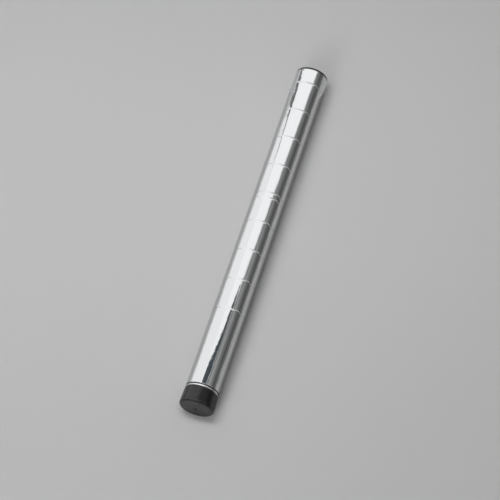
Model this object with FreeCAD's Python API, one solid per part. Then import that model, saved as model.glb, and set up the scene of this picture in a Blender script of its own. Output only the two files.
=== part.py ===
import FreeCAD
import Part
import math
import os

# Grooved chrome post for wire shelving, lying on its side, with a screw-adjusted foot.
#
# The post is a thin steel tube with ring grooves rolled in at a steady pitch, where shelf clips lock, and a
# second groove beside one of them as a counting mark. Its lower end is plain. A plastic cap closes the top.
# A flanged and threaded steel socket is pressed into the lower end, up to a small shoulder under its flange.
# The foot is a black moulding on the round head of a bolt, and the bolt screws into the socket. The head can
# swivel in the foot.
#
# Millimetres. The post runs along +Y, from its foot to its top end, with +Z up and +X to the right. The origin
# is on the surface that the post lies on, under the middle of its length.

V = FreeCAD.Vector

# The tube
tube_diameter = 25.4
wall = 1.2
tube_length = 279.4
groove_pitch = 25.4
groove_count = 9                # the tube is plain below the last one
mark_groove = 5                 # counted from the top end: this one has a second groove beside it
mark_spacing = 4.5
groove_depth = 0.15
groove_half_width = 0.8
ridge_half_width = 1.4          # the same groove seen from inside, softened by the wall
end_round = 0.4                 # outer edge of both cut ends

# The cap in the top end
cap_diameter = 25.2
cap_rim = 0.9                   # straight part of the edge
cap_round = 0.9
cap_dome = 0.4
spigot_length = 9.4
spigot_radius = 10.4
spigot_wall = 1.6
fin_count = 3
fin_thickness = 1.0
fin_play = 0.05                 # between the fins and the bore

# The threaded socket in the lower end
flange_thickness = 2.0
flange_round = 0.75
seam_width = 0.4                # open seam between the flange and the cut edge of the tube
seam_radius = 11.9              # shoulder at the bottom of the seam, which stops on the cut edge
socket_length = 10.2            # part inside the tube
socket_chamfer = 0.6
thread_radius = 5.0             # wall of the hole, for an M10 bolt

# The bolt
bolt_play = 0.05                # round the shank, and round the head
bolt_reach = 30.0               # shank beyond the top of the foot
bolt_chamfer = 1.0
head_radius = 8.5
head_height = 5.0
head_depth = 2.0                # moulding over the head

# The foot
foot_top_diameter = 25.3
foot_base_diameter = 26.0
foot_height = 12.8
foot_top_round = 0.7
foot_base_round = 1.6
seat_gap = 0.08                 # air between the flange and the foot when it is screwed home
gate_radius = 1.1               # mark of the moulding gate, a dimple in the middle of the base
gate_depth = 0.4

# Places that follow from the sizes
tube_radius = tube_diameter / 2
bore_radius = tube_radius - wall
cap_height = cap_rim + cap_round + cap_dome
total_length = cap_height + tube_length + flange_thickness + seat_gap + foot_height
tube_top = total_length / 2 - cap_height
tube_end = tube_top - tube_length
flange_end = tube_end - flange_thickness
foot_top = flange_end - seat_gap
foot_base = foot_top - foot_height
head_top = foot_top - head_depth
axis_height = foot_base_diameter / 2
groove_stations = [tube_top - groove_pitch * (n + 0.5) for n in range(groove_count)]
groove_stations.append(groove_stations[mark_groove - 1] - mark_spacing)
groove_stations.sort()


def line(a, b):
    """Straight edge between two (radius, station) points."""
    return Part.makeLine(V(a[0], a[1], 0), V(b[0], b[1], 0))


def arc(a, middle, b):
    """Circular edge through three (radius, station) points."""
    return Part.Arc(V(a[0], a[1], 0), V(middle[0], middle[1], 0), V(b[0], b[1], 0)).toShape()


def corner(centre, radius, start, end):
    """Round edge about centre, between two angles in degrees."""
    points = []
    for degrees in (start, (start + end) / 2, end):
        angle = math.radians(degrees)
        points.append((centre[0] + radius * math.cos(angle), centre[1] + radius * math.sin(angle)))
    return arc(*points)


def outline(points):
    """Closed outline of straight edges."""
    return [line(a, b) for a, b in zip(points, points[1:] + points[:1])]


def rolled_dip(radius, station, half_width):
    """Smooth groove in a tube wall: a shoulder, a valley and a shoulder, all tangent, running towards +Y."""
    turn = 2 * math.atan(groove_depth / half_width)
    bend = half_width / math.sin(turn) / 2
    floor = radius - groove_depth

    def shoulder(angle, side):
        return (radius - bend * (1 - math.cos(angle)), station + side * (half_width - bend * math.sin(angle)))

    def valley(angle, side):
        return (floor + bend * (1 - math.cos(angle)), station + side * bend * math.sin(angle))

    return [
        arc(shoulder(0, -1), shoulder(turn / 2, -1), shoulder(turn, -1)),
        arc(valley(turn, -1), (floor, station), valley(turn, 1)),
        arc(shoulder(turn, 1), shoulder(turn / 2, 1), shoulder(0, 1)),
    ]


def grooved_line(radius, start, end, half_width):
    """Edges along a tube wall from one station up to another, with every groove in it."""
    edges = []
    reached = start
    for station in groove_stations:
        edges.append(line((radius, reached), (radius, station - half_width)))
        edges += rolled_dip(radius, station, half_width)
        reached = station + half_width
    edges.append(line((radius, reached), (radius, end)))
    return edges


def turned(edges):
    """Solid of revolution about the post's axis, from a closed outline of (radius, station) edges."""
    wire = Part.Wire(Part.__sortEdges__(edges))
    solid = Part.Face(wire).revolve(V(0, 0, 0), V(0, 1, 0), 360)
    solid.translate(V(0, 0, axis_height))
    return solid


def make_post_tube():
    rim = tube_radius - end_round
    edges = [corner((rim, tube_end + end_round), end_round, -90, 0)]
    edges += grooved_line(tube_radius, tube_end + end_round, tube_top - end_round, groove_half_width)
    edges += [
        corner((rim, tube_top - end_round), end_round, 0, 90),
        line((rim, tube_top), (bore_radius, tube_top)),
        line((bore_radius, tube_end), (rim, tube_end)),
    ]
    edges += grooved_line(bore_radius, tube_end, tube_top, ridge_half_width)
    return turned(edges)


def make_top_cap():
    rim_radius = cap_diameter / 2
    rim_top = tube_top + cap_rim
    crown = rim_top + cap_round
    peak = crown + cap_dome
    low = tube_top - spigot_length
    hollow = spigot_radius - spigot_wall
    flat = rim_radius - cap_round
    dome_sphere = (flat ** 2 + cap_dome ** 2) / (2 * cap_dome)
    halfway = math.sqrt(dome_sphere ** 2 - (flat / 2) ** 2) - dome_sphere
    edges = [
        line((0, tube_top), (hollow, tube_top)),
        line((hollow, tube_top), (hollow, low)),
        line((hollow, low), (spigot_radius, low)),
        line((rim_radius, tube_top), (rim_radius, rim_top)),
        corner((flat, rim_top), cap_round, 0, 90),
        arc((flat, crown), (flat / 2, peak + halfway), (0, peak)),
        line((0, peak), (0, tube_top)),
    ]
    fin_pitch = (spigot_length - fin_thickness) / fin_count
    fin_radius = bore_radius - fin_play
    reached = low
    for n in range(fin_count):
        start = low + fin_pitch * n + fin_thickness
        edges += [
            line((spigot_radius, reached), (spigot_radius, start)),
            line((spigot_radius, start), (fin_radius, start + fin_thickness / 2)),
            line((fin_radius, start + fin_thickness / 2), (fin_radius, start + fin_thickness)),
            line((fin_radius, start + fin_thickness), (spigot_radius, start + fin_thickness)),
        ]
        reached = start + fin_thickness
    edges += [
        line((spigot_radius, reached), (spigot_radius, tube_top)),
        line((spigot_radius, tube_top), (rim_radius, tube_top)),
    ]
    return turned(edges)


def make_foot_socket():
    high = tube_end + socket_length
    rim = tube_radius - flange_round
    flange_top = tube_end - seam_width
    return turned([
        line((thread_radius, high - socket_chamfer), (thread_radius, flange_end + socket_chamfer)),
        line((thread_radius, flange_end + socket_chamfer), (thread_radius + socket_chamfer, flange_end)),
        line((thread_radius + socket_chamfer, flange_end), (rim, flange_end)),
        corner((rim, flange_end + flange_round), flange_round, -90, 0),
        line((tube_radius, flange_end + flange_round), (tube_radius, flange_top - flange_round)),
        corner((rim, flange_top - flange_round), flange_round, 0, 90),
        line((rim, flange_top), (seam_radius, flange_top)),
        line((seam_radius, flange_top), (seam_radius, tube_end)),
        line((seam_radius, tube_end), (bore_radius, tube_end)),
        line((bore_radius, tube_end), (bore_radius, high - socket_chamfer)),
        line((bore_radius, high - socket_chamfer), (bore_radius - socket_chamfer, high)),
        line((bore_radius - socket_chamfer, high), (thread_radius + socket_chamfer, high)),
        line((thread_radius + socket_chamfer, high), (thread_radius, high - socket_chamfer)),
    ])


def make_leveling_bolt():
    shank_radius = thread_radius - bolt_play
    tip = foot_top + bolt_reach
    return turned(outline([
        (0, head_top - head_height),
        (head_radius, head_top - head_height),
        (head_radius, head_top),
        (shank_radius, head_top),
        (shank_radius, tip - bolt_chamfer),
        (shank_radius - bolt_chamfer, tip),
        (0, tip),
    ]))


def make_foot_shell():
    top_radius = foot_top_diameter / 2
    base_radius = foot_base_diameter / 2
    pocket_radius = head_radius + bolt_play
    pocket_top = head_top + bolt_play
    pocket_floor = head_top - head_height - bolt_play
    return turned([
        line((0, foot_base + gate_depth), (gate_radius / 2, foot_base + gate_depth)),
        line((gate_radius / 2, foot_base + gate_depth), (gate_radius, foot_base)),
        line((gate_radius, foot_base), (base_radius - foot_base_round, foot_base)),
        corner((base_radius - foot_base_round, foot_base + foot_base_round), foot_base_round, -90, 0),
        line((base_radius, foot_base + foot_base_round), (top_radius, foot_top - foot_top_round)),
        corner((top_radius - foot_top_round, foot_top - foot_top_round), foot_top_round, 0, 90),
        line((top_radius - foot_top_round, foot_top), (thread_radius, foot_top)),
        line((thread_radius, foot_top), (thread_radius, pocket_top)),
        line((thread_radius, pocket_top), (pocket_radius, pocket_top)),
        line((pocket_radius, pocket_top), (pocket_radius, pocket_floor)),
        line((pocket_radius, pocket_floor), (0, pocket_floor)),
        line((0, pocket_floor), (0, foot_base + gate_depth)),
    ])


def main():
    nodes = {
        "post_tube": make_post_tube(),
        "top_cap": make_top_cap(),
        "foot_socket": make_foot_socket(),
        "leveling_bolt": make_leveling_bolt(),
        "foot_shell": make_foot_shell(),
    }
    os.makedirs("parts", exist_ok=True)
    for name, shape in nodes.items():
        shape.exportStep("parts/" + name + ".step")
        print(name, "valid", shape.isValid(), "solids", len(shape.Solids), "volume", round(shape.Volume))
    print("length", total_length, "tube", tube_end, tube_top, "foot", foot_base, foot_top)


main()
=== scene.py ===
import math
import bpy
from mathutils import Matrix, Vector


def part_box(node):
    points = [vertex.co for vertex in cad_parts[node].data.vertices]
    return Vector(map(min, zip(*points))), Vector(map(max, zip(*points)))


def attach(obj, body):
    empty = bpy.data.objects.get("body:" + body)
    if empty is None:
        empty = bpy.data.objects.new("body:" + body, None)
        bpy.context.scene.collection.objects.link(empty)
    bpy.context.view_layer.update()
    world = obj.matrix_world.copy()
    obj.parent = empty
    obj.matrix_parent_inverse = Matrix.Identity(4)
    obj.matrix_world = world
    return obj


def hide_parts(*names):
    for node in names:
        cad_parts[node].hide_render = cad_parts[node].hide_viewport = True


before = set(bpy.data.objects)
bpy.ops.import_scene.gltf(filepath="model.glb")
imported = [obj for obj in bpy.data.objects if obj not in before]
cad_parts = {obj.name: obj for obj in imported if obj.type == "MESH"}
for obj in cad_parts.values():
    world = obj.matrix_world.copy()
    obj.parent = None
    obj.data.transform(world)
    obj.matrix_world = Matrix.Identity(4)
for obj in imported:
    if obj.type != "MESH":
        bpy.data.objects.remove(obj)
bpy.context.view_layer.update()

mm = 0.001


def fullTurn(steps):
    return [2 * math.pi * n / steps for n in range(steps)]


class Wire:
    # a shader socket that can be used in sums

    def __init__(self, nodes, socket):
        self.nodes = nodes
        self.socket = socket

    def maths(self, operation, *others):
        inputs = dict(enumerate((self, *others)))
        return self.nodes.node("ShaderNodeMath", {"operation": operation}, inputs)

    def __add__(self, other):
        return self.maths("ADD", other)

    def __radd__(self, other):
        return self.maths("ADD", other)

    def __sub__(self, other):
        return self.maths("SUBTRACT", other)

    def __rsub__(self, other):
        return self.nodes.node("ShaderNodeMath", {"operation": "SUBTRACT"}, {0: other, 1: self})

    def __mul__(self, other):
        return self.maths("MULTIPLY", other)

    def __rmul__(self, other):
        return self.maths("MULTIPLY", other)

    def between(self, low, high):
        # 0 below low, 1 above high, smooth on the way
        settings = {"interpolation_type": "SMOOTHSTEP", "clamp": True}
        inputs = {"Value": self, "From Min": low, "From Max": high}
        return self.nodes.node("ShaderNodeMapRange", settings, inputs)

    def part(self, axis):
        return self.nodes.node("ShaderNodeSeparateXYZ", {}, {"Vector": self}, output=axis)


class Nodes:
    # the nodes of one material or of the world

    def __init__(self, tree):
        self.tree = tree

    def node(self, kind, settings=None, inputs=None, output=0):
        made = self.tree.nodes.new(kind)
        for key, value in (settings or {}).items():
            if key == "stops":
                ramp = made.color_ramp
                while len(ramp.elements) < len(value):
                    ramp.elements.new(1.0)
                for element, (place, colour) in zip(ramp.elements, value):
                    element.position = place
                    element.color = (*colour, 1.0)
            else:
                setattr(made, key, value)
        for key, value in (inputs or {}).items():
            if isinstance(value, Wire):
                self.tree.links.new(value.socket, made.inputs[key])
            else:
                made.inputs[key].default_value = value
        return Wire(self, made.outputs[output])


class Paint(Nodes):
    # one node material, with its Principled shader

    def __init__(self, name, **fixed):
        self.material = bpy.data.materials.new(name)
        self.material.use_nodes = True
        super().__init__(self.material.node_tree)
        self.shader = self.tree.nodes["Principled BSDF"]
        for socket, value in fixed.items():
            self.feed(socket.replace("_", " "), value)

    def feed(self, socket, value):
        if isinstance(value, Wire):
            self.tree.links.new(value.socket, self.shader.inputs[socket])
        else:
            self.shader.inputs[socket].default_value = value

    def place(self):
        return self.node("ShaderNodeTexCoord", output="Object")

    def stretched(self, vector, x, y, z):
        settings = {"operation": "MULTIPLY"}
        return self.node("ShaderNodeVectorMath", settings, {0: vector, 1: (x, y, z)})

    def grain(self, vector, scale, detail=3.0, rough=0.5):
        inputs = {"Vector": vector, "Scale": scale, "Detail": detail, "Roughness": rough}
        return self.node("ShaderNodeTexNoise", {}, inputs, output="Fac")

    def blendColour(self, factor, first, second):
        made = self.tree.nodes.new("ShaderNodeMix")
        made.data_type = "RGBA"
        self.tree.links.new(factor.socket, made.inputs["Factor"])
        for slot, value in ((made.inputs[6], first), (made.inputs[7], second)):
            if isinstance(value, Wire):
                self.tree.links.new(value.socket, slot)
            else:
                slot.default_value = (*value, 1.0)
        return Wire(self, made.outputs[2])

    def relief(self, height, distance, strength=1.0):
        inputs = {"Height": height, "Distance": distance, "Strength": strength}
        self.feed("Normal", self.node("ShaderNodeBump", {}, inputs, output="Normal"))


# outlines are lists of (radius, place along the post), in metres

def roundCorner(radius, along, bend, start, end, steps=6):
    turns = [math.radians(start + (end - start) * n / steps) for n in range(steps + 1)]
    return [(radius + bend * math.cos(a), along + bend * math.sin(a)) for a in turns]


def straight(radius, start, end, spacing):
    steps = max(1, round(abs(end - start) / spacing))
    return [(radius, start + (end - start) * n / steps) for n in range(1, steps)]


def joinRings(rings):
    # faces between each ring of points and the next; a ring of one repeated point is a pole
    faces = []
    for low, high in zip(rings, rings[1:]):
        for n in range(len(low)):
            m = (n + 1) % len(low)
            face = list(dict.fromkeys([low[n], low[m], high[m], high[n]]))
            if len(face) > 2:
                faces.append(face)
    return faces


def lathe(name, outline, axis, segments=192, closed=True, sharp=32):
    # turns an outline about the post's axis; a point at radius 0 becomes a pole
    points, rings = [], []
    for radius, along in outline:
        start = len(points)
        if radius < 1e-7:
            points.append((0.0, along, axis))
            rings.append([start] * segments)
            continue
        for a in fullTurn(segments):
            points.append((radius * math.sin(a), along, axis + radius * math.cos(a)))
        rings.append(list(range(start, start + segments)))
    if closed:
        rings.append(rings[0])
    return finished(name, points, joinRings(rings), sharp)


def finished(name, points, faces, sharp=32):
    mesh = bpy.data.meshes.new(name)
    mesh.from_pydata(points, [], faces)
    mesh.validate()
    mesh.update()
    if outwardVolume(mesh) < 0:
        mesh.flip_normals()
    mesh.shade_smooth()
    mesh.set_sharp_from_angle(angle=math.radians(sharp))
    made = bpy.data.objects.new(name, mesh)
    bpy.context.scene.collection.objects.link(made)
    return made


def outwardVolume(mesh):
    mesh.calc_loop_triangles()
    total = 0.0
    for triangle in mesh.loop_triangles:
        a, b, c = (mesh.vertices[i].co for i in triangle.vertices)
        total += a.dot(b.cross(c))
    return total


def install(made, material, node, body):
    made.data.materials.append(material)
    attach(made, body)
    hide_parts(node)
    print("made", made.name)


tubeLow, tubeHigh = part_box("post_tube")
capLow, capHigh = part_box("top_cap")
socketLow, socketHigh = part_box("foot_socket")
boltLow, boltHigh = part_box("leveling_bolt")
footLow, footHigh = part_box("foot_shell")
axis = (tubeLow.z + tubeHigh.z) / 2
tubeRadius = (tubeHigh.x - tubeLow.x) / 2

chrome = {
    "tint": (0.66, 0.668, 0.675),
    "tintWorn": (0.60, 0.605, 0.61),
    "roughness": 0.055,
    "smudge": 0.05,
    "scratch": 0.10,
    "wave": 0.00013,
    # colour of the open seam: painted shade, with the stain of the unplated cut steel
    "seamShadeAndStain": (0.05, 0.05, 0.048),
    "smudgeScale": 42,
    "lineScale": (900, 60, 900),
    "speckScale": 1500,
    "patchScale": 30,
    "waveScale": 110,
    "rippleScale": 420,
    "seamFade": 0.12 * mm,
}


def chromePaint(name, seam, grooves=None):
    # seam is the stretch along the post, start and end, of the open seam, painted dark as shade and as the
    # stain of unplated cut steel
    # grooves holds the top and bottom groove's places and their pitch
    paint = Paint(name, Metallic=1.0)
    place = paint.place()
    smudges = paint.grain(place, chrome["smudgeScale"], 5, 0.6).between(0.45, 0.75)
    dulling = smudges * chrome["smudge"]
    lines = paint.grain(paint.stretched(place, *chrome["lineScale"]), 1.0, 2, 0.5).between(0.66, 0.74)
    specks = paint.grain(place, chrome["speckScale"], 2, 0.5).between(0.70, 0.76)
    patches = paint.grain(place, chrome["patchScale"], 2, 0.5).between(0.45, 0.65)
    worn = (lines * 0.35 + specks * 0.5) * patches
    if grooves:
        top, bottom, pitch = grooves
        nearest = (place.part("Y") - top).maths("PINGPONG", pitch / 2)
        grooved = place.part("Y").between(bottom - 3 * mm, bottom - 2 * mm)
        worn = worn + (1 - nearest.between(0.4 * mm, 1.5 * mm)) * grooved * 0.25
    # painted shade in the open seam, with the unplated steel's stain: darker and rougher there
    away = (place.part("Y") - (seam[0] + seam[1]) / 2).maths("ABSOLUTE")
    half = (seam[1] - seam[0]) / 2
    seamShadeAndStain = 1 - away.between(half, half + chrome["seamFade"])
    clean = paint.blendColour(worn, chrome["tint"], chrome["tintWorn"])
    paint.feed("Base Color", paint.blendColour(seamShadeAndStain, clean, chrome["seamShadeAndStain"]))
    paint.feed("Roughness", chrome["roughness"] + dulling + worn * chrome["scratch"] + seamShadeAndStain * 0.4)
    waves = paint.grain(paint.stretched(place, 1, 0.5, 1), chrome["waveScale"], 2, 0.4)
    fine = paint.grain(paint.stretched(place, 1, 0.35, 1), chrome["rippleScale"], 2, 0.4)
    paint.relief(waves * 0.8 + fine * 0.35, chrome["wave"])
    return paint.material


tube = {
    "pitch": 25.4 * mm,
    "grooves": 9,
    "markGroove": 5,
    "markSpacing": 4.5 * mm,
    "depth": 0.15 * mm,
    "halfWidth": 0.8 * mm,
    "ridgeHalfWidth": 1.4 * mm,
    "wall": 1.2 * mm,
    "endRound": 0.4 * mm,
    "edge": 0.06 * mm,
}


def groove(radius, along, halfWidth, steps=14):
    points = []
    for n in range(steps + 1):
        across = -1 + 2 * n / steps
        dip = tube["depth"] * (1 + math.cos(math.pi * across)) / 2
        points.append((radius - dip, along + across * halfWidth))
    return points


def groovedWall(radius, start, end, halfWidth, places, steps):
    # a ring on each side keeps the plain wall's shading straight up to the groove
    beside = halfWidth + tube["edge"]
    wall, reached = [], start
    for along in places:
        wall += straight(radius, reached, along - beside, 4 * mm)
        wall.append((radius, along - beside))
        wall += groove(radius, along, halfWidth, steps)
        wall.append((radius, along + beside))
        reached = along + beside
    return wall + straight(radius, reached, end, 4 * mm)


def makeTube():
    low, high = tubeLow.y, tubeHigh.y
    bend, bore = tube["endRound"], tubeRadius - tube["wall"]
    places = [high - tube["pitch"] * (n + 0.5) for n in range(tube["grooves"])]
    grooves = (places[0], places[-1], tube["pitch"])
    places.append(places[tube["markGroove"] - 1] - tube["markSpacing"])
    places.sort()
    inLow, inHigh = low + bend + tube["edge"], high - bend - tube["edge"]
    outline = [(bore, low)] + roundCorner(tubeRadius - bend, low + bend, bend, -90, 0)
    outline.append((tubeRadius, inLow))
    outline += groovedWall(tubeRadius, inLow, inHigh, tube["halfWidth"], places, 16)
    outline.append((tubeRadius, inHigh))
    outline += roundCorner(tubeRadius - bend, high - bend, bend, 0, 90) + [(bore, high)]
    outline += groovedWall(bore, low, high, tube["ridgeHalfWidth"], places, 8)[::-1]
    made = lathe("post_tube_chromed", outline, axis, segments=256)
    paint = chromePaint("chromedTube", (low - 1 * mm, low + 0.18 * mm), grooves)
    install(made, paint, "post_tube", "post")


socket = {
    "flangeRound": 0.75 * mm,
    "seamWidth": 0.4 * mm,
    "seamRadius": 11.9 * mm,
    "chamfer": 0.6 * mm,
    "hole": 5.0 * mm,
}


def makeSocket():
    low, high, seat = socketLow.y, socketHigh.y, tubeLow.y
    bend, cut, hole = socket["flangeRound"], socket["chamfer"], socket["hole"]
    bore, flangeTop = tubeRadius - tube["wall"], seat - socket["seamWidth"]
    outline = [(hole, high - cut), (hole, low + cut), (hole + cut, low)]
    outline += roundCorner(tubeRadius - bend, low + bend, bend, -90, 0, 8)
    outline += roundCorner(tubeRadius - bend, flangeTop - bend, bend, 0, 90, 8)
    outline += [(socket["seamRadius"], flangeTop), (socket["seamRadius"], seat)]
    outline += [(bore, seat), (bore, high - cut), (bore - cut, high), (hole + cut, high)]
    made = lathe("foot_socket_chromed", outline, axis, segments=192)
    paint = chromePaint("chromedSocket", (flangeTop - 0.25 * mm, seat + 1 * mm))
    install(made, paint, "foot_socket", "post")


plastics = {
    "foot": {
        "dark": (0.004, 0.004, 0.0042),
        "light": (0.012, 0.012, 0.0122),
        "roughness": 0.15,
        "grain": 0.02 * mm,
    },
    "cap": {
        "dark": (0.006, 0.006, 0.0066),
        "light": (0.014, 0.014, 0.015),
        "roughness": 0.22,
        "grain": 0.02 * mm,
    },
}


def plasticPaint(name, look, scuffFrom, scuffTo):
    paint = Paint(name, Specular_IOR_Level=0.5)
    place = paint.place()
    cloud = paint.grain(place, 120, 4, 0.6)
    spark = paint.grain(place, 2600, 2, 0.6)
    scuffs = paint.grain(paint.stretched(place, 260, 900, 260), 1.0, 4, 0.6).between(0.56, 0.68)
    rub = scuffs * (1 - place.part("Y").between(scuffFrom, scuffTo))
    paint.feed("Base Color", paint.blendColour(cloud * 0.5 + rub * 0.5, look["dark"], look["light"]))
    paint.feed("Roughness", look["roughness"] + cloud * 0.12 + rub * 0.15)
    paint.relief(spark * 0.7 + cloud * 0.4 + rub * 0.4, look["grain"])
    return paint.material


cap = {
    "rim": 0.9 * mm,
    "bend": 0.9 * mm,
    "dome": 0.4 * mm,
    "spigotRadius": 10.4 * mm,
    "spigotWall": 1.6 * mm,
    "fins": 3,
    "fin": 1.0 * mm,
    "finRadius": 11.45 * mm,
}


def makeCap():
    radius = (capHigh.x - capLow.x) / 2
    seat, low = tubeHigh.y, capLow.y
    flat, crown = radius - cap["bend"], seat + cap["rim"] + cap["bend"]
    ball = (flat ** 2 + cap["dome"] ** 2) / (2 * cap["dome"])
    outline = [(0, seat), (cap["spigotRadius"] - cap["spigotWall"], seat)]
    outline += [(cap["spigotRadius"] - cap["spigotWall"], low), (cap["spigotRadius"], low)]
    finPitch = (seat - low - cap["fin"]) / cap["fins"]
    for n in range(cap["fins"]):
        start = low + finPitch * n + cap["fin"]
        outline += [(cap["spigotRadius"], start), (cap["finRadius"], start + cap["fin"] / 2)]
        outline += [(cap["finRadius"], start + cap["fin"]), (cap["spigotRadius"], start + cap["fin"])]
    outline += [(cap["spigotRadius"], seat), (radius, seat)]
    outline += roundCorner(flat, seat + cap["rim"], cap["bend"], 0, 90, 8)
    for n in range(1, 9):
        out = flat * (1 - n / 8)
        outline.append((out, crown + math.sqrt(ball ** 2 - out ** 2) - ball + cap["dome"]))
    made = lathe("top_cap_moulded", outline, axis, segments=160, closed=False)
    paint = plasticPaint("capPlastic", plastics["cap"], capLow.y, capLow.y + 1 * mm)
    install(made, paint, "top_cap", "post")


foot = {
    "topRadius": 12.65 * mm,
    "topRound": 0.7 * mm,
    "baseRound": 1.6 * mm,
    "gateRadius": 1.1 * mm,
    "gateDepth": 0.4 * mm,
    "neck": 5.0 * mm,
    "headDepth": 1.95 * mm,
    "pocketRadius": 8.55 * mm,
    "pocketHeight": 5.1 * mm,
}


def makeFoot():
    low, high = footLow.y, footHigh.y
    radius = (footHigh.x - footLow.x) / 2
    gate, depth = foot["gateRadius"], foot["gateDepth"]
    roof = high - foot["headDepth"]
    floor = roof - foot["pocketHeight"]
    baseRound, topRound = foot["baseRound"], foot["topRound"]
    outline = [(0, low + depth), (gate * 0.45, low + depth), (gate * 0.7, low + depth * 0.6)]
    outline += [(gate * 0.88, low + depth * 0.2), (gate, low)]
    outline += [(gate + (radius - baseRound - gate) * n / 6, low) for n in range(1, 6)]
    outline += roundCorner(radius - baseRound, low + baseRound, baseRound, -90, 0, 10)
    start, end = low + baseRound, high - topRound
    for n in range(1, 6):
        share = n / 6
        outline.append((radius + (foot["topRadius"] - radius) * share, start + (end - start) * share))
    outline += roundCorner(foot["topRadius"] - topRound, end, topRound, 0, 90, 8)
    outline += [(foot["neck"], high), (foot["neck"], roof), (foot["pocketRadius"], roof)]
    outline += [(foot["pocketRadius"], floor), (0, floor)]
    made = lathe("foot_shell_moulded", outline, axis, segments=192, closed=False)
    paint = plasticPaint("footPlastic", plastics["foot"], low + 0.5 * mm, low + 3.5 * mm)
    install(made, paint, "foot_shell", "foot")


bolt = {
    "shank": 4.95 * mm,
    "pitch": 1.5 * mm,
    "threadDepth": 0.92 * mm,
    "neck": 2.5 * mm,
    "chamfer": 1.2 * mm,
    "headHeight": 5.0 * mm,
    "tint": (0.55, 0.555, 0.56),
    "tintWorn": (0.43, 0.43, 0.42),
    "grain": 0.02 * mm,
}


def threadDip(turn):
    # 0 on the crest, 1 in the root, over one turn of the thread
    away = abs((turn % 1.0) - 0.5) * 2
    return min(1.0, max(0.0, (0.88 - away) / 0.63))


def makeBolt():
    headRadius = (boltHigh.x - boltLow.x) / 2
    shoulder = boltLow.y + bolt["headHeight"]
    start, tip = footHigh.y + bolt["neck"], boltHigh.y
    segments, perPitch = 72, 18
    rings = round((tip - start) / bolt["pitch"] * perPitch)
    steps = [boltLow.y + bolt["chamfer"] / 3, shoulder - bolt["chamfer"] / 3]
    inset = headRadius - bolt["chamfer"] / 3
    plain = [(inset, boltLow.y), (headRadius, steps[0]), (headRadius, steps[1]), (inset, shoulder)]
    plain += [(bolt["shank"], shoulder), (bolt["shank"], start - 0.6 * mm)]
    points = [(0.0, boltLow.y, axis)]
    loops = [[0] * segments]

    def addLoop(radii, along):
        first = len(points)
        for a, radius in zip(fullTurn(segments), radii):
            points.append((radius * math.sin(a), along, axis + radius * math.cos(a)))
        loops.append(list(range(first, first + segments)))

    for radius, along in plain:
        addLoop([radius] * segments, along)
    for n in range(rings + 1):
        along = start + (tip - start) * n / rings
        fadeIn = min(1.0, n / perPitch)
        limit = bolt["shank"] - max(0.0, along - (tip - bolt["chamfer"]))
        radii = []
        for a in fullTurn(segments):
            # right-handed, seen from either end
            dip = threadDip((along - start) / bolt["pitch"] - a / (2 * math.pi))
            radii.append(min(limit, bolt["shank"] - bolt["threadDepth"] * dip * fadeIn))
        addLoop(radii, along)
    points.append((0.0, tip, axis))
    loops.append([len(points) - 1] * segments)
    made = finished("leveling_bolt_threaded", points, joinRings(loops), 40)
    paint = Paint("platedBolt", Metallic=1.0)
    place = paint.place()
    stain = paint.grain(place, 300, 4, 0.6).between(0.42, 0.68)
    fine = paint.grain(place, 3000, 2, 0.5)
    paint.feed("Base Color", paint.blendColour(stain, bolt["tint"], bolt["tintWorn"]))
    paint.feed("Roughness", 0.26 + stain * 0.16 + fine * 0.06)
    paint.relief(fine, bolt["grain"])
    install(made, paint.material, "leveling_bolt", "bolt")


makeTube()
makeSocket()
makeCap()
makeFoot()
makeBolt()

studio = {
    "floorSize": 9.0,
    "floorColour": (0.62, 0.62, 0.622),
    "panelHeight": 0.7,
    "mainGlow": 1.28,
    "sideGlow": 1.17,
    "frontGlow": 1.4,
    "rightGlow": 0.60,
    "floorSheetGlow": 0.85,
    "stripGlow": 0.48,
    "leftShadeStripGlow": 0.45,
    "worldStrength": 1.0,
    "sky": [
        (0.0, 0.25), (0.12, 0.17), (0.32, 0.095), (0.43, 0.145), (0.51, 0.20),
        (0.60, 0.25), (0.70, 0.38), (0.80, 0.44), (1.0, 0.26),
    ],
    "panelEdgeAndStripShade": (0.17, 0.17, 0.17),
    "floorShade": 0.82,
}


def flatPiece(name, corners, material):
    mesh = bpy.data.meshes.new(name)
    mesh.from_pydata(corners, [], [list(range(len(corners)))])
    made = bpy.data.objects.new(name, mesh)
    mesh.materials.append(material)
    bpy.context.scene.collection.objects.link(made)
    return made


def makeFloor():
    half = studio["floorSize"] / 2
    paint = Paint("studioFloor", Specular_IOR_Level=0.1)
    place = paint.place()
    cloud = paint.grain(place, 3, 3, 0.5)
    fine = paint.grain(place, 900, 2, 0.5)
    colour = studio["floorColour"]
    paintedShadeColour = tuple(c * studio["floorShade"] for c in colour)
    # painted shade: the floor is graded darker towards the front and to the right, standing in for the light
    # falling off
    front = 1 - (place.part("Y") - place.part("X") * 0.3).between(-0.27, 0.20)
    paint.feed("Base Color", paint.blendColour(cloud * 0.15 + fine * 0.1 + front * 0.75, colour, paintedShadeColour))
    paint.feed("Roughness", 0.85 + fine * 0.1)
    corners = [(-half, -half, 0), (half, -half, 0), (half, half, 0), (-half, half, 0)]
    flatPiece("studio_floor", corners, paint.material)
    print("made the floor")


def makePanel(name, glow, corners, height, shape=None):
    # panels show in the polished pieces and light nothing else
    paint = Paint(name, Base_Color=(0, 0, 0, 1), Specular_IOR_Level=0.0)
    strength, colour = glow
    if shape:
        paint.feed("Emission Color", paint.blendColour(shape(paint.place()), studio["panelEdgeAndStripShade"], (1, 1, 1)))
    else:
        paint.feed("Emission Color", (*colour, 1.0))
    paint.feed("Emission Strength", strength)
    made = flatPiece(name, [(x, y, height) for x, y in corners], paint.material)
    made.visible_camera = False
    made.visible_diffuse = False
    made.visible_shadow = False


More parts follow.
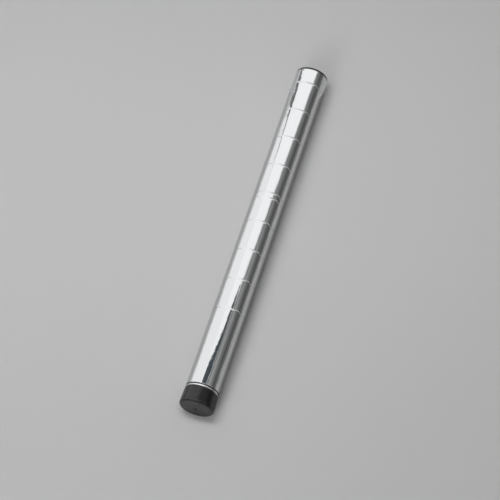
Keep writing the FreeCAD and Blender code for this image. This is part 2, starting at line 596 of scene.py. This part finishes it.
def gapEdge(side, *halfWidths):
    # points along one edge of the slanted gap between two panels
    # side is 1 for the main panel's edge and -1 for the side panel's
    return [(x, 0.180 - 0.606 * x + side * half) for x, half in halfWidths]


def mainShape(place):
    # fades out across the right-hand edge
    beyond = place.part("X") * 1.77 - 0.17 - place.part("Y")
    return 1 - beyond.between(-0.20, 0.22)


def stripShape(place):
    # painted shadow: dark beside the post, where the floor's contact shadow falls, and lighter further out
    return place.part("X").between(0.008, 0.05)


def makePanels():
    high = studio["panelHeight"]
    white, bluish = (1.0, 1.0, 1.0), (0.8, 1.0, 1.1)
    upper = [(-6.0, 0.16), (-3.5, 0.10), (-2.4, 0.06), (-1.25, 0.042), (-0.9, 0.016), (-0.5, 0)]
    lower = [(-20, 0.20), (-6.0, 0.10), (-3.5, 0.07), (-2.4, 0.042)]
    lower += [(-1.5, 0.026), (-0.9, 0.014), (-0.5, 0)]
    near = [(-0.389, 0.396), (-0.345, 0.325), (-0.26, 0.255), (-0.2, 0.15)]
    main = gapEdge(1, *upper) + near + [(0.33, 0.15), (1.06, 1.438), (0.2, 5.0), (-6.0, 5.0)]
    makePanel("main_panel", (studio["mainGlow"], white), main, high, mainShape)
    side = gapEdge(-1, *lower) + near + [(0.088, 0.12), (-1.2, 0.1), (-1.2, -1.2), (-20, -1.2)]
    makePanel("side_panel", (studio["sideGlow"], white), side, high)
    front = [(-1.15, 0.08), (-1.15, -1.4), (0.15, -1.4), (0.15, 0.12), (0.1, 0.11)]
    makePanel("front_panel", (studio["frontGlow"], white), front, high)
    right = [(0.155, 0.12), (0.155, -1.4), (1.6, -1.4), (1.6, 0.42)]
    right += [(0.75, 0.27), (0.47, 0.20), (0.36, 0.17)]
    makePanel("right_panel", (studio["rightGlow"], white), right, high)
    # painted light in reflection: a glowing sheet lying on the floor far to the left, seen only in the
    # polished pieces, makes the floor there read brighter in them
    low = [(-6.0, -3.0), (-0.17, -3.0), (-0.17, 3.0), (-6.0, 3.0)]
    makePanel("floor_glow_sheet", (studio["floorSheetGlow"], white), low, 0.002)
    card = [(-0.16, 0.165), (-0.13, 0.186), (-0.05, 0.190), (-0.02, 0.200), (0.04, 0.205), (0.03, 0.215)]
    card += [(0.075, 0.222), (0.07, 0.234), (0.11, 0.243), (0.10, 0.253), (0.145, 0.265), (0.15, 0.280)]
    card += [(0.20, 0.292), (0.25, 0.283), (0.235, 0.270), (0.28, 0.262), (0.262, 0.250), (0.285, 0.240)]
    card += [(0.26, 0.228), (0.27, 0.216), (0.23, 0.205), (0.225, 0.190), (0.20, 0.165)]
    card += [(0.17, 0.140), (0.16, 0.115), (-0.05, 0.115), (-0.08, 0.138)]
    card += [(-0.24, 0.146), (-0.25, 0.158), (-0.10, 0.160)]
    makePanel("dark_card", (0.09, bluish), card, high - 0.01)
    # painted shadow in reflection: a sheet just above the floor at the post's right, seen only in the
    # polished pieces, darkens their right edge beyond what the floor's own shadow gives
    strip = [(0.0135, -0.15), (0.06, -0.15), (0.06, 0.142), (0.0135, 0.142)]
    makePanel("shadow_strip", (studio["stripGlow"], white), strip, 0.0012, stripShape)
    # painted shade in reflection: a dimmer sheet just above the floor at the post's left, seen only in the
    # polished pieces, darkens their left edge
    strip = [(-0.08, -0.15), (-0.0135, -0.15), (-0.0135, 0.142), (-0.08, 0.142)]
    makePanel("left_shade_strip", (studio["leftShadeStripGlow"], white), strip, 0.0012)
    print("made the panels")


def makeLamp(name, place, aim, size, power):
    data = bpy.data.lights.new(name, "AREA")
    data.shape = "RECTANGLE"
    data.size, data.size_y = size
    data.energy = power
    made = bpy.data.objects.new(name, data)
    bpy.context.scene.collection.objects.link(made)
    made.location = place
    made.rotation_mode = "QUATERNION"
    made.rotation_quaternion = (Vector(aim) - Vector(place)).to_track_quat("-Z", "Y")
    made.visible_glossy = False
    made.visible_camera = False


def makeLamps():
    makeLamp("key_lamp", (-0.14, -0.03, 0.88), (0, 0, 0), (0.15, 0.6), 3.65)
    makeLamp("front_lamp", (-0.18, -1.0, 0.62), (0, -0.1, 0.01), (0.4, 0.5), 3.5)
    print("made the lamps")


def makeWorld():
    world = bpy.data.worlds.new("studioWorld")
    bpy.context.scene.world = world
    world.use_nodes = True
    nodes = Nodes(world.node_tree)
    back = nodes.tree.nodes["Background"]
    height = nodes.node("ShaderNodeTexCoord", output="Generated").part("Z")
    stops = [(place, (light, light, light)) for place, light in studio["sky"]]
    ramp = nodes.node("ShaderNodeValToRGB", {"stops": stops}, {"Fac": height}, output="Color")
    nodes.tree.links.new(ramp.socket, back.inputs["Color"])
    back.inputs["Strength"].default_value = studio["worldStrength"]
    print("made the world")


view = {
    "azimuth": 17.12,
    "elevation": 61.65,
    "distance": 1.7296,
    "lens": 165.6,
    "aim": (-0.0031, -0.00625, 0),
}


def makeCamera():
    turn, rise = math.radians(view["azimuth"]), math.radians(view["elevation"])
    back = Vector((math.sin(turn) * math.cos(rise), -math.cos(turn) * math.cos(rise), math.sin(rise)))
    data = bpy.data.cameras.new("camera")
    data.sensor_width = 36
    data.lens = view["lens"]
    data.clip_end = 30
    camera = bpy.data.objects.new("camera", data)
    bpy.context.scene.collection.objects.link(camera)
    camera.location = Vector(view["aim"]) + back * view["distance"]
    camera.rotation_mode = "QUATERNION"
    camera.rotation_quaternion = (-back).to_track_quat("-Z", "Y")
    bpy.context.scene.camera = camera


makeFloor()
makePanels()
makeLamps()
makeWorld()
makeCamera()
bpy.context.scene.view_settings.view_transform = "Standard"
